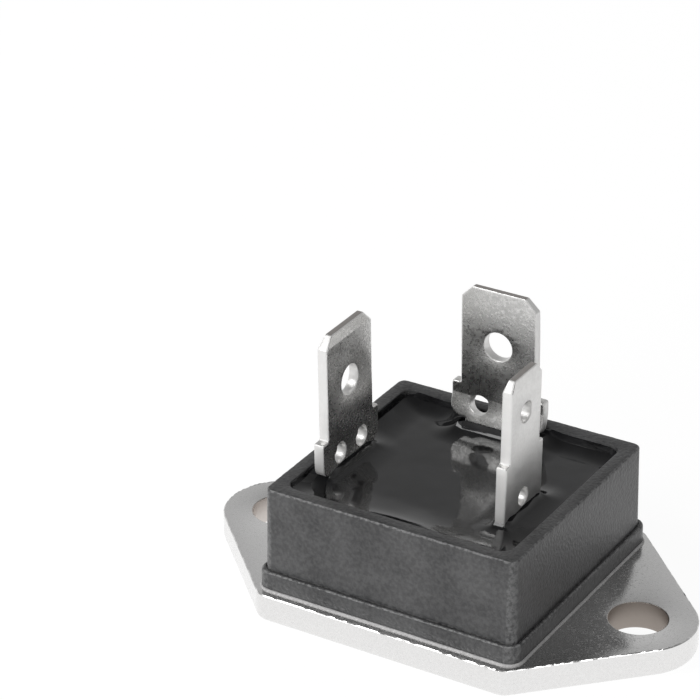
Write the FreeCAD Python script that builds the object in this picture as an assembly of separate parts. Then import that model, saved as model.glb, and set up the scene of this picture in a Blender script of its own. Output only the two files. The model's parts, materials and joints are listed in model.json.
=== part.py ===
"""A potted power triac on a flanged base plate, in millimetres.

X runs along the plate through both fixing holes, Y across it and Z up. The origin is the
centre of the plate's underside. The front wall of the housing faces -Y.
"""
import FreeCAD, Part
import math
import os
from typing import NamedTuple

from FreeCAD import Vector

# Base plate: a stamped plate with two rounded ends, each round a fixing hole
hole_spacing = 30.1
hole_diameter = 4.3
end_radius = 4.35
plate_width = 22.1
plate_flat_length = 20.1
plate_thickness = 2.25
plate_corner_radius = 1.4
plate_lower_round = 0.5
plate_upper_break = 0.1
hole_lower_break = 0.2

# Housing: a moulded frame with a foot flange all round
foot_length = 21.3
foot_width = 20.6
foot_height = 1.44
foot_corner_radius = 1.05
body_length = 20.4
body_width = 19.5
body_draft = 0.1
housing_height = 8.0
rim_wall = 1.12
body_corner_radius = 0.6
cavity_corner_radius = 0.9
rim_outer_round = 0.18
rim_inner_break = 0.12
foot_upper_round = 0.2

# Adhesive under the foot, with the bead that squeezed out
adhesive_thickness = 0.08
bead_width = 0.22
bead_height = 0.2

# Fill: soft gel below, hard cap above, and the cap climbs in a hollow curve at the walls and blades
fill_recess = 1.13
cap_thickness = 2.2
wall_climb_height = 0.9
wall_climb_width = 1.5
blade_climb_height = 0.85
blade_climb_width = 1.0
climb_steps = 3
climb_tip = 0.04

# Insulated substrate: copper, ceramic, copper, on one solder layer
substrate_clearance = 1.1
solder_thickness = 0.1
copper_thickness = 0.3
ceramic_thickness = 0.63
copper_margin = 0.7

# Chip and the contacts on its upper face
chip_size = 8.0
chip_thickness = 0.35
chip_shift_x = 0.45
gate_contact_size = 1.2
contact_margin = 0.6
contact_gap = 0.8

# Terminals: two wide blades from one stamping, and a narrower one for the gate
sheet_thickness = 0.8
bend_inner_radius = 0.5
t1_wall_gap = 0.68
gate_wall_gap = 2.48
t2_wall_gap = 0.73
row_y = -1.9
t2_step_forward = 1.75
t2_bend_below_shoulder = 0.95
foot_chip_gap = 1.15
side_blade_reach = 10.3
t2_blade_reach = 10.85
lead_in_depth = 0.18
lead_in_height = 1.0
foot_taper = 0.8

# Wide blade; drops are measured down from the tip
blade_width = 6.2
blade_chamfer = 0.9
blade_shoulder = 0.75
blade_shoulder_drop = 8.1
blade_shoulder_corner = 0.9
blade_neck_width = 5.0
blade_neck_drop = 10.9
blade_hole_diameter = 2.3
blade_hole_drop = 4.4
blade_low_hole_diameter = 1.55
blade_low_hole_drop = 9.65
blade_low_hole_pitch = 2.95

# Gate blade
gate_width = 4.4
gate_chamfer_in = 0.6
gate_chamfer_down = 0.75
gate_shoulder = 0.55
gate_shoulder_drop = 6.4
gate_shoulder_corner = 0.5
gate_neck_width = 3.2
gate_neck_drop = 11.8
gate_hole_diameter = 1.6
gate_hole_drop = 3.1
gate_low_hole_diameter = 1.4
gate_low_hole_drop = 9.85

# Levels, from the plate upwards
plate_top = plate_thickness
foot_bottom = plate_top + adhesive_thickness
foot_top = foot_bottom + foot_height
rim_top = foot_bottom + housing_height
fill_top = rim_top - fill_recess
gel_top = fill_top - cap_thickness
lower_copper_bottom = plate_top + solder_thickness
ceramic_bottom = lower_copper_bottom + copper_thickness
pad_bottom = ceramic_bottom + ceramic_thickness
pad_top = pad_bottom + copper_thickness
chip_bottom = pad_top + solder_thickness
chip_top = chip_bottom + chip_thickness
chip_contact_top = chip_top + solder_thickness
t2_foot_bottom = pad_top + solder_thickness
side_tip = rim_top + side_blade_reach
t2_tip = rim_top + t2_blade_reach
t2_bend = t2_tip - blade_shoulder_drop - t2_bend_below_shoulder
side_foot = chip_contact_top + sheet_thickness / 2
t2_foot = t2_foot_bottom + sheet_thickness / 2

# Plan sizes that follow from the ones above
cavity_length = body_length - 2 * rim_wall
cavity_width = body_width - 2 * rim_wall
ceramic_length = cavity_length - 2 * substrate_clearance
ceramic_width = cavity_width - 2 * substrate_clearance
copper_length = ceramic_length - 2 * copper_margin
copper_width = ceramic_width - 2 * copper_margin
t1_x = t1_wall_gap + sheet_thickness / 2 - cavity_length / 2
gate_x = cavity_length / 2 - gate_wall_gap - sheet_thickness / 2
t2_x = (t1_x + gate_x) / 2 + chip_shift_x
t2_y = cavity_width / 2 - t2_wall_gap - sheet_thickness / 2
chip_x = t2_x
chip_left = chip_x - chip_size / 2
chip_right = chip_x + chip_size / 2
chip_rear = row_y + chip_size / 2
gate_contact_left = chip_right - contact_margin - gate_contact_size
t1_contact_left = chip_left + contact_margin
t1_contact_right = gate_contact_left - contact_gap
bend_radius = bend_inner_radius + sheet_thickness / 2
t2_foot_end = t2_y - (chip_rear + foot_chip_gap)

# Overshoot of cutting shapes, and the play allowed when a place is compared
through = 1.0
play = 1e-6


def rounded_rectangle(length, width, radius, z):
    """Closed wire, centred on the Z axis at height z."""
    x, y = length / 2, width / 2
    corners = [(x - radius, y - radius, 0), (radius - x, y - radius, 90),
               (radius - x, radius - y, 180), (x - radius, radius - y, 270)]
    points = []
    for cx, cy, start in corners:
        for turn in (0, 45, 90):
            angle = math.radians(start + turn)
            points.append(Vector(cx + radius * math.cos(angle), cy + radius * math.sin(angle), z))
    edges = []
    for first in range(0, len(points), 3):
        a, b, c = points[first:first + 3]
        edges.append(Part.Arc(a, b, c).toShape())
        edges.append(Part.makeLine(c, points[(first + 3) % len(points)]))
    return Part.Wire(edges)


def block(length, width, radius, bottom, top):
    """Upright prism on a rounded rectangle."""
    face = Part.Face(rounded_rectangle(length, width, radius, bottom))
    return face.extrude(Vector(0, 0, top - bottom))


def tapered_block(lower, upper, bottom, top):
    """Loft between two rounded rectangles, each given as (length, width, radius)."""
    wires = [rounded_rectangle(*lower, bottom), rounded_rectangle(*upper, top)]
    return Part.makeLoft(wires, True, True)


def plain_box(left, right, front, rear, bottom, top):
    """Box between three pairs of limits."""
    return Part.makeBox(right - left, rear - front, top - bottom, Vector(left, front, bottom))


def edges_at(shape, z, wanted):
    """Edges that lie wholly at height z and pass the test."""
    return [edge for edge in shape.Edges
            if abs(edge.BoundBox.ZMin - z) < play and abs(edge.BoundBox.ZMax - z) < play and wanted(edge)]


def is_hole_edge(edge):
    """True for the full circle of a fixing hole."""
    return len(edge.Vertexes) == 1


def plate_outline():
    """Hexagon whose two end corners are arcs round the fixing holes."""
    half_flat, half_width, centre = plate_flat_length / 2, plate_width / 2, hole_spacing / 2
    bearing = math.atan2(half_width, half_flat - centre)
    reach = math.hypot(half_flat - centre, half_width)
    touch = bearing - math.acos(end_radius / reach)
    tangent_x = centre + end_radius * math.cos(touch)
    tangent_y = end_radius * math.sin(touch)
    tip_x = centre + end_radius
    edges = []
    for side in (1, -1):
        upper = Vector(side * tangent_x, side * tangent_y, 0)
        lower = Vector(side * tangent_x, -side * tangent_y, 0)
        corner_before = Vector(side * half_flat, side * half_width, 0)
        corner_after = Vector(side * half_flat, -side * half_width, 0)
        next_corner = Vector(-side * half_flat, -side * half_width, 0)
        edges.append(Part.makeLine(corner_before, upper))
        edges.append(Part.Arc(upper, Vector(side * tip_x, 0, 0), lower).toShape())
        edges.append(Part.makeLine(lower, corner_after))
        edges.append(Part.makeLine(corner_after, next_corner))
    return Part.Wire(edges)


def make_base_plate():
    """Stamped plate: the lower edge is rolled over by the die, the upper one nearly sharp."""
    plate = Part.Face(plate_outline()).extrude(Vector(0, 0, plate_thickness))
    half_flat = plate_flat_length / 2
    upright = [edge for edge in plate.Edges
               if edge.BoundBox.ZLength > plate_thickness / 2
               and abs(abs(edge.Vertexes[0].X) - half_flat) < play]
    plate = plate.makeFillet(plate_corner_radius, upright)
    for side in (1, -1):
        centre = Vector(side * hole_spacing / 2, 0, -through)
        plate = plate.cut(Part.makeCylinder(hole_diameter / 2, plate_thickness + 2 * through, centre))
    plate = plate.makeFillet(plate_lower_round, edges_at(plate, 0, lambda edge: not is_hole_edge(edge)))
    plate = plate.makeChamfer(hole_lower_break, edges_at(plate, 0, is_hole_edge))
    return plate.makeChamfer(plate_upper_break, edges_at(plate, plate_top, lambda edge: True))


def cavity(bottom, top):
    """The space inside the housing between two levels."""
    return block(cavity_length, cavity_width, cavity_corner_radius, bottom, top)


def is_inner_rim_edge(edge):
    """True for an edge of the rim on the cavity's side of the wall."""
    box = edge.BoundBox
    reach_x, reach_y = max(abs(box.XMin), abs(box.XMax)), max(abs(box.YMin), abs(box.YMax))
    return reach_x < (cavity_length + rim_wall) / 2 and reach_y < (cavity_width + rim_wall) / 2


def make_housing():
    """Open frame with a foot flange; its walls lean in a little towards the rim."""
    foot = block(foot_length, foot_width, foot_corner_radius, foot_bottom, foot_top)
    foot = foot.makeFillet(foot_upper_round, edges_at(foot, foot_top, lambda edge: True))
    lower = (body_length + 2 * body_draft, body_width + 2 * body_draft, body_corner_radius)
    upper = (body_length, body_width, body_corner_radius)
    body = tapered_block(lower, upper, foot_bottom, rim_top)
    body = body.makeFillet(rim_outer_round, edges_at(body, rim_top, lambda edge: True))
    frame = foot.fuse(body).cut(cavity(foot_bottom - through, rim_top + through)).removeSplitter()
    inner = edges_at(frame, rim_top, is_inner_rim_edge)
    return frame.makeChamfer(rim_inner_break, inner)


def make_adhesive(housing):
    """Thin layer under the foot that ends in a sloping bead outside it."""
    lower = (foot_length + 2 * bead_width, foot_width + 2 * bead_width, foot_corner_radius + bead_width)
    upper = (foot_length + 2 * climb_tip, foot_width + 2 * climb_tip, foot_corner_radius + climb_tip)
    bead = tapered_block(lower, upper, plate_top, foot_bottom + bead_height)
    return bead.cut([housing, cavity(plate_top - through, rim_top)])


def unit(vector):
    """Copy of a vector with length one."""
    return Vector(vector).normalize()


def strip_side(path, offset):
    """Edges of one side of a bent strip, and the side's two ends.

    path holds points in the XZ plane; offset is measured to the left of the way along it.
    """
    edges = []
    start = None
    for here, point in enumerate(path):
        if here == 0:
            along = unit(path[1] - point)
            start = point + Vector(-along.z, 0, along.x) * offset
            first = start
            continue
        before = unit(point - path[here - 1])
        normal_before = Vector(-before.z, 0, before.x)
        if here == len(path) - 1:
            end = point + normal_before * offset
            edges.append(Part.makeLine(start, end))
            break
        after = unit(path[here + 1] - point)
        normal_after = Vector(-after.z, 0, after.x)
        turn = math.acos(before.dot(after))
        side = 1 if normal_before.dot(after) > 0 else -1
        setback = bend_radius * math.tan(turn / 2)
        arc_start = point - before * setback
        arc_end = point + after * setback
        centre = arc_start + normal_before * (side * bend_radius)
        middle = centre + unit(point - centre) * (bend_radius - side * offset)
        a, b = arc_start + normal_before * offset, arc_end + normal_after * offset
        edges.append(Part.makeLine(start, a))
        edges.append(Part.Arc(a, middle, b).toShape())
        start = b
    return edges, first, end


def bent_strip(path, width):
    """Sheet strip of one thickness along a path that starts at the blade's bevelled tip."""
    half = sheet_thickness / 2
    below_tip = path[0] + unit(path[1] - path[0]) * lead_in_height
    body_path = [below_tip] + path[1:]
    left_edges, left_start, left_end = strip_side(body_path, half)
    right_edges, right_start, right_end = strip_side(body_path, -half)
    across = unit(left_start - right_start)
    left_tip = path[0] + across * (half - lead_in_depth)
    right_tip = path[0] - across * (half - lead_in_depth)
    tip = [Part.makeLine(right_start, right_tip), Part.makeLine(right_tip, left_tip),
           Part.makeLine(left_tip, left_start)]
    end = [Part.makeLine(left_end, right_end)]
    wire = Part.Wire(Part.__sortEdges__(tip + left_edges + end + right_edges))
    strip = Part.Face(wire).extrude(Vector(0, width, 0))
    return strip.translate(Vector(0, -width / 2, 0))


def mirrored_outline(right_side):
    """Closed face in (across, along) pairs, mirrored about the middle line."""
    left_side = [(-across, along) for across, along in reversed(right_side)]
    return right_side + left_side


class Blank(NamedTuple):
    """Outline of a terminal; drops are measured down from the tip."""

    width: float
    chamfer_in: float
    chamfer_down: float
    shoulder: float
    shoulder_drop: float
    shoulder_corner: float
    neck_width: float
    neck_drop: float
    foot_width: float
    holes: list


def blade_zone(blank, tip, bottom, reach):
    """Block that the upright part of a terminal is cut from, as seen along X."""
    half, half_neck = blank.width / 2, blank.neck_width / 2
    half_low = half + blank.shoulder
    neck_top = tip - blank.neck_drop
    shoulder_top = tip - blank.shoulder_drop
    front = mirrored_outline([(half_neck, bottom), (half_neck, neck_top),
                              (half_low - blank.shoulder_corner, neck_top),
                              (half_low, neck_top + blank.shoulder_corner), (half_low, shoulder_top),
                              (half, shoulder_top), (half, tip - blank.chamfer_down),
                              (half - blank.chamfer_in, tip)])
    face = Part.Face(Part.makePolygon([Vector(-reach, y, z) for y, z in front + front[:1]]))
    return face.extrude(Vector(2 * reach, 0, 0))


def foot_zone(blank, riser_x, floor, top, reach):
    """Block that the foot of a terminal is cut from, as seen along Z."""
    half_neck, half_foot = blank.neck_width / 2, blank.foot_width / 2
    plan = mirrored_outline([(half_neck, -sheet_thickness), (half_neck, riser_x),
                             (half_foot, riser_x + foot_taper), (half_foot, reach)])
    face = Part.Face(Part.makePolygon([Vector(x, y, floor) for y, x in plan + plan[:1]]))
    return face.extrude(Vector(0, 0, top - floor))


def terminal(path, blank):
    """One bent terminal in its own frame: blade upright over the origin, foot towards +X."""
    tip, foot_level = path[0].z, path[-1].z
    bend_top = foot_level + bend_radius + sheet_thickness / 2
    reach = path[-1].x + sheet_thickness + through
    riser_x = path[-2].x + sheet_thickness / 2
    upright = blade_zone(blank, tip, bend_top, reach)
    foot = foot_zone(blank, riser_x, foot_level - sheet_thickness, bend_top, reach)
    strip = bent_strip(path, blank.width + 2 * blank.shoulder)
    shape = strip.common(upright.fuse(foot))
    for across, drop, diameter in blank.holes:
        start = Vector(-reach, across, tip - drop)
        shape = shape.cut(Part.makeCylinder(diameter / 2, 2 * reach, start, Vector(1, 0, 0)))
    return shape.removeSplitter()


def placed(shape, turn, x, y):
    """Turn a terminal about the Z axis and stand it at (x, y)."""
    shape.rotate(Vector(0, 0, 0), Vector(0, 0, 1), turn)
    shape.translate(Vector(x, y, 0))
    return shape


def wide_blank():
    """Stamping of T1 and T2: a hole that a receptacle's dimple snaps into, and two in the root."""
    low = blade_low_hole_pitch / 2
    holes = [(0, blade_hole_drop, blade_hole_diameter),
             (low, blade_low_hole_drop, blade_low_hole_diameter),
             (-low, blade_low_hole_drop, blade_low_hole_diameter)]
    return Blank(blade_width, blade_chamfer, blade_chamfer, blade_shoulder, blade_shoulder_drop,
                 blade_shoulder_corner, blade_neck_width, blade_neck_drop, blade_neck_width, holes)


def gate_blank():
    """Stamping of the gate terminal, whose foot is a narrow tongue."""
    holes = [(0, gate_hole_drop, gate_hole_diameter), (0, gate_low_hole_drop, gate_low_hole_diameter)]
    return Blank(gate_width, gate_chamfer_in, gate_chamfer_down, gate_shoulder, gate_shoulder_drop,
                 gate_shoulder_corner, gate_neck_width, gate_neck_drop, gate_contact_size, holes)


def make_t1_terminal():
    """Left blade; its foot lies on the chip's upper contact."""
    path = [Vector(0, 0, side_tip), Vector(0, 0, side_foot), Vector(t1_contact_right - t1_x, 0, side_foot)]
    return placed(terminal(path, wide_blank()), 0, t1_x, row_y)


def make_t2_terminal():
    """Rear blade; below a bend it leans forward to a foot on the copper pad."""
    path = [Vector(0, 0, t2_tip), Vector(0, 0, t2_bend), Vector(t2_step_forward, 0, t2_foot),
            Vector(t2_foot_end, 0, t2_foot)]
    return placed(terminal(path, wide_blank()), -90, t2_x, t2_y)


def make_gate_terminal():
    """Right, narrower blade; its tongue reaches in to the gate contact."""
    path = [Vector(0, 0, side_tip), Vector(0, 0, side_foot), Vector(gate_x - gate_contact_left, 0, side_foot)]
    return placed(terminal(path, gate_blank()), 180, gate_x, row_y)


def centred_layer(length, width, bottom, top):
    """Flat layer of the substrate stack."""
    return plain_box(-length / 2, length / 2, -width / 2, width / 2, bottom, top)


def chip_layer(half_size, bottom, top):
    """Square layer centred on the chip."""
    left, front = chip_x - half_size, row_y - half_size
    return plain_box(left, left + 2 * half_size, front, front + 2 * half_size, bottom, top)


def make_substrate():
    """Solder, copper, ceramic and the copper pad, from the plate upwards."""
    copper = (copper_length, copper_width)
    return {
        "substrate_solder": centred_layer(*copper, plate_top, lower_copper_bottom),
        "substrate_lower_copper": centred_layer(*copper, lower_copper_bottom, ceramic_bottom),
        "substrate_ceramic": centred_layer(ceramic_length, ceramic_width, ceramic_bottom, pad_bottom),
        "t2_pad": centred_layer(*copper, pad_bottom, pad_top),
    }


def make_chip_stack():
    """The chip, its solder and the solder under the three feet."""
    half_gate, half_wide = gate_contact_size / 2, blade_neck_width / 2
    flat_start = t2_y - t2_step_forward - bend_radius
    return {
        "chip_solder": chip_layer(chip_size / 2, pad_top, chip_bottom),
        "triac_chip": chip_layer(chip_size / 2, chip_bottom, chip_top),
        "t1_contact_solder": plain_box(t1_contact_left, t1_contact_right,
                                       row_y - half_wide, row_y + half_wide, chip_top, chip_contact_top),
        "gate_contact_solder": plain_box(gate_contact_left, gate_contact_left + gate_contact_size,
                                         row_y - half_gate, row_y + half_gate, chip_top, chip_contact_top),
        "t2_foot_solder": plain_box(t2_x - half_wide, t2_x + half_wide, t2_y - t2_foot_end, flat_start,
                                    pad_top, t2_foot_bottom),
    }


def climb_profile(width, height):
    """(distance from the wall, rise) pairs up a hollow arc that starts level."""
    radius = (width ** 2 + height ** 2) / (2 * height)
    runs = [width * step / climb_steps for step in range(climb_steps + 1)]
    return [(width - run, radius - math.sqrt(radius ** 2 - run ** 2)) for run in runs]


def stacked(sections):
    """Solid through rounded rectangles given as (length, width, radius, z), from the lowest up."""
    layers = [tapered_block(lower[:3], upper[:3], lower[3], upper[3])
              for lower, upper in zip(sections, sections[1:])]
    return layers[0].fuse(layers[1:])


def blade_collar(x, y, along_x, along_y):
    """Hollow collar of fill round the root of a blade with the given footprint."""
    sections = []
    for distance, rise in climb_profile(blade_climb_width, blade_climb_height):
        grow = max(distance, climb_tip)
        sections.append((along_x + 2 * grow, along_y + 2 * grow, grow, fill_top + rise))
    return stacked(sections).translate(Vector(x, y, 0))


def dish():
    """The space above the fill, wider towards the rim."""
    sections = []
    for distance, rise in climb_profile(wall_climb_width, wall_climb_height):
        narrowing = 2 * max(distance, climb_tip)
        sections.append((cavity_length - narrowing, cavity_width - narrowing, cavity_corner_radius,
                         fill_top + rise))
    return stacked(sections)


def make_fill_cap(terminals):
    """Hard cap of the fill: a dished top that climbs at the walls and round each blade."""
    cap = cavity(gel_top, fill_top + wall_climb_height).cut(dish())
    wide = blade_width + 2 * blade_shoulder
    lean = t2_step_forward * (t2_bend - fill_top) / (t2_bend - t2_foot)
    collars = [blade_collar(t1_x, row_y, sheet_thickness, wide),
               blade_collar(t2_x, t2_y - lean, wide, sheet_thickness),
               blade_collar(gate_x, row_y, sheet_thickness, gate_width + 2 * gate_shoulder)]
    inside = cavity(gel_top, fill_top + blade_climb_height)
    cap = cap.fuse([collar.common(inside) for collar in collars]).cut(terminals)
    return cap.removeSplitter()


def make_gel(inner):
    """Soft fill between the plate and the cap, round everything inside."""
    return cavity(plate_top, gel_top).cut(inner)


def largest_solid(shape):
    """The one solid of a piece."""
    return max(shape.Solids, key=lambda solid: solid.Volume)


def build():
    """All pieces by name."""
    terminals = {
        "t1_terminal": make_t1_terminal(),
        "t2_terminal": make_t2_terminal(),
        "gate_terminal": make_gate_terminal(),
    }
    stack = {**make_substrate(), **make_chip_stack()}
    housing = make_housing()
    blades = list(terminals.values())
    return {
        "base_plate": make_base_plate(),
        "housing": housing,
        "housing_adhesive": make_adhesive(housing),
        "fill_cap": make_fill_cap(blades),
        "gel_fill": make_gel(blades + list(stack.values())),
        **stack,
        **terminals,
    }


os.makedirs("parts", exist_ok=True)
for name, piece in build().items():
    solid = largest_solid(piece)
    solid.exportStep(f"parts/{name}.step")
    print(name, len(piece.Solids), piece.isValid(), round(solid.Volume, 3))
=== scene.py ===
# %% [markdown]
# A potted power triac stands on a pale floor: a nickel-plated base plate, a moulded frame glued on
# it, a black glossy fill, and three tinned blades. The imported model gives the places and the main
# sizes. Each visible piece is made anew here as a finer mesh with its own procedural finish.
# Lengths are in millimetres until a mesh is finished, and only there they become metres.

# %% Load the frame
import json
import math

import bmesh
import bpy
from bmesh.types import BMEdge, BMFace, BMVert
from mathutils import Matrix, Vector, noise


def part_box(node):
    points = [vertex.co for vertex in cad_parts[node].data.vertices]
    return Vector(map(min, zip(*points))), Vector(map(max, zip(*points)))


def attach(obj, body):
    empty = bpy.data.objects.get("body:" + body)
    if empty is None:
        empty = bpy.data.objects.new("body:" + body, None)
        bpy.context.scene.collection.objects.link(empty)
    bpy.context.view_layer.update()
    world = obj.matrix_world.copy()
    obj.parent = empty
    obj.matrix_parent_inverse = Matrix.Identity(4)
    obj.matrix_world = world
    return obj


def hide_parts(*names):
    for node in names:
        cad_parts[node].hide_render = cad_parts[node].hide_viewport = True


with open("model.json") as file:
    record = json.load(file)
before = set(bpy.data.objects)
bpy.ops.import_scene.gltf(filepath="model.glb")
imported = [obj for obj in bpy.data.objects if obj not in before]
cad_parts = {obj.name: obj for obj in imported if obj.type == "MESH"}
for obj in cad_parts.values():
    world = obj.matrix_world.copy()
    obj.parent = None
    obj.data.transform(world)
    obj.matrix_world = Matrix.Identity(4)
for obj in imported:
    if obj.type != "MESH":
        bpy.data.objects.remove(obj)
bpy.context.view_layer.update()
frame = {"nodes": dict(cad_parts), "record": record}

MM = 0.001
print("packed model:", len(frame["nodes"]), "nodes")

# %% [markdown]
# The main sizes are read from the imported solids, so that this scene follows them. A mount gives
# the place and the radius of a fixing hole. NEAR tells heights apart when a ring of points is
# looked for.

# %% Main sizes


def box_mm(node):
    """Lowest and highest corner of a node, in millimetres."""
    low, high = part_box(node)
    return low / MM, high / MM


plate_high = box_mm("base_plate")[1]
housing_low, housing_high = box_mm("housing")
cap_low, cap_high = box_mm("fill_cap")
t1_low, t1_high = box_mm("t1_terminal")
t2_low, t2_high = box_mm("t2_terminal")
gate_low, gate_high = box_mm("gate_terminal")
hole_mount = next(entry for entry in frame["record"]["mounts"]
                  if entry["name"] == "right_fixing_hole")

PLATE_TOP = plate_high.z
HOLE_CENTRE = hole_mount["pos_m"][0] / MM
HOLE_RADIUS = hole_mount["dims"]["r_mm"]
FOOT_BOTTOM = housing_low.z
RIM_TOP = housing_high.z
GEL_TOP = cap_low.z
CAVITY_HALF_X, CAVITY_HALF_Y = cap_high.x, cap_high.y
CAVITY_RADIUS = 0.9
NEAR = 0.005
print(f"plate {plate_high.x * 2:.2f} x {plate_high.y * 2:.2f} mm, tip at {t2_high.z:.2f} mm")

# %% [markdown]
# Every piece of this part is a flat outline that was given a height: a stamped sheet or a moulded
# wall. So one flat face with rounded corners is the usual start. It could be drawn as a curve and
# filled, but a face with bevelled corners is a mesh from the start and easy to push up in steps.

# %% Flat outlines


def rounded_face(corners, radii, segments):
    """Mesh with one flat face; each corner is rounded by its own radius."""
    mesh = bmesh.new()
    starts = [mesh.verts.new((x, y, 0.0)) for x, y in corners]
    mesh.faces.new(starts)
    for corner, radius in zip(starts, radii):
        sides = [edge.other_vert(corner).co - corner.co for edge in corner.link_edges]
        reach = radius / math.tan(sides[0].angle(sides[1]) / 2)
        bmesh.ops.bevel(mesh, geom=[corner], offset=reach, affect="VERTICES", segments=segments,
                        profile=0.5, material=-1)
    return mesh


def cut_long_edges(mesh, spacing):
    """Divide each edge that is longer than the spacing."""
    for edge in mesh.edges[:]:
        cuts = int(edge.calc_length() / spacing)
        if cuts:
            bmesh.ops.subdivide_edges(mesh, edges=[edge], cuts=cuts)


def rectangle(half_x, half_y):
    """Corners of a rectangle round the origin, anticlockwise."""
    return [(half_x, -half_y), (half_x, half_y), (-half_x, half_y), (-half_x, -half_y)]


print("corners of a 2 x 1 mm rectangle:", rectangle(1.0, 0.5))

# %% [markdown]
# A wall grows from such a face by insets: each inset makes a ring of faces round it, and the face
# is then moved up, down or not at all. A rounded edge is a few small steps along a quarter circle.
# A narrow ring beside it keeps the flat face evenly shaded.

# %% Walls and rounded edges


def step(mesh, face, *moves):
    """Ring of new faces round a face for each move (inward, up)."""
    for inward, up in moves:
        bmesh.ops.inset_region(mesh, faces=[face], thickness=inward, use_even_offset=True,
                               use_boundary=True)
        bmesh.ops.translate(mesh, verts=face.verts[:], vec=(0, 0, up))


def round_over(radius, steps):
    """Steps (inward, along) of a rounded edge, from the upright wall to the flat face."""
    angles = [math.pi / 2 * here / steps for here in range(steps + 1)]
    return [(radius * (math.cos(a) - math.cos(b)), radius * (math.sin(b) - math.sin(a)))
            for a, b in zip(angles, angles[1:])]


def only(items, kind):
    """Those items that are points, edges or faces."""
    return [item for item in items if isinstance(item, kind)]


SUPPORT = 0.05


def slab(mesh, face, height, upper_steps, lower_steps):
    """Thick sheet from a flat face; the steps shape its edges, and both flat caps are returned."""
    grown = bmesh.ops.extrude_face_region(mesh, geom=[face], use_keep_orig=True)
    cap = only(grown["geom"], BMFace)[0]
    bmesh.ops.translate(mesh, verts=cap.verts[:], vec=(0, 0, height))
    step(mesh, cap, *upper_steps, (SUPPORT, 0.0))
    step(mesh, face, *((inward, -along) for inward, along in lower_steps), (SUPPORT, 0.0))
    return cap, face


print("a 1 mm round in two steps:", [(round(i, 2), round(a, 2)) for i, a in round_over(1.0, 2)])

# %% [markdown]
# Round holes go through both caps of a sheet. A circle is extruded from one cap to the other,
# wider at each end where the edge is broken, and then the caps are filled anew round the circles.

# %% Round holes


def circle_edges(circle):
    """Edges of a new circle."""
    return list({edge for vertex in circle["verts"] for edge in vertex.link_edges})


def open_holes(mesh, caps, holes, upper_steps, lower_steps, segments):
    """Cut round holes (x, y, radius) through a sheet between its two caps."""
    top, bottom = caps
    top_z, bottom_z = top.verts[0].co.z, bottom.verts[0].co.z
    rims = [top.edges[:], bottom.edges[:]]
    bmesh.ops.delete(mesh, geom=[top, bottom], context="FACES_ONLY")
    for x, y, radius in holes:
        wall = [(radius + sum(i for i, _ in upper_steps), top_z)]
        for inward, along in reversed(upper_steps):
            wall.append((wall[-1][0] - inward, wall[-1][1] - along))
        wall.append((radius, bottom_z + sum(a for _, a in lower_steps)))
        for inward, along in lower_steps:
            wall.append((wall[-1][0] + inward, wall[-1][1] - along))
        centre = Matrix.Translation((x, y, top_z))
        circle = bmesh.ops.create_circle(mesh, segments=segments, radius=wall[0][0], matrix=centre)
        edges = circle_edges(circle)
        rims[0] += edges
        for (wide, level), (new_wide, new_level) in zip(wall, wall[1:]):
            grown = bmesh.ops.extrude_edge_only(mesh, edges=edges)["geom"]
            edges, points = only(grown, BMEdge), only(grown, BMVert)
            ratio = new_wide / wide
            bmesh.ops.scale(mesh, verts=points, vec=(ratio, ratio, 1),
                            space=Matrix.Translation((-x, -y, 0)))
            bmesh.ops.translate(mesh, verts=points, vec=(0, 0, new_level - level))
        rims[1] += edges
    for rim in rims:
        bmesh.ops.triangle_fill(mesh, edges=rim, use_beauty=True)


# %% [markdown]
# Each finished piece is written once: its mesh becomes metres, its faces are turned outwards,
# edges that turn sharply are marked, it is set to ride on the root, and the solid it stands for
# is hidden.

# %% Finishing a piece


def new_object(name, mesh, material):
    """Object with one material from a mesh, which is then freed."""
    data = bpy.data.meshes.new(name)
    mesh.to_mesh(data)
    mesh.free()
    data.materials.append(material)
    made = bpy.data.objects.new(name, data)
    bpy.context.scene.collection.objects.link(made)
    return made


def finish_piece(name, mesh, material, node, sharp_degrees=35):
    """Write the mesh in metres, as a piece that replaces a node."""
    bmesh.ops.recalc_face_normals(mesh, faces=mesh.faces[:])
    bmesh.ops.scale(mesh, vec=(MM, MM, MM), verts=mesh.verts[:])
    for edge in mesh.edges:
        if edge.calc_face_angle(0.0) > math.radians(sharp_degrees):
            edge.smooth = False
    for face in mesh.faces:
        face.smooth = True
    piece = new_object(name, mesh, material)
    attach(piece, "root")
    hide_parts(node)
    print(f"{name}: {len(piece.data.polygons)} faces")


# %% [markdown]
# Finishes are node graphs. They could be clicked together in the editor; in a script a small
# wrapper keeps each graph readable: it adds a node, sets its plain values and links its sockets.

# %% Node wrapper


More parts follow.
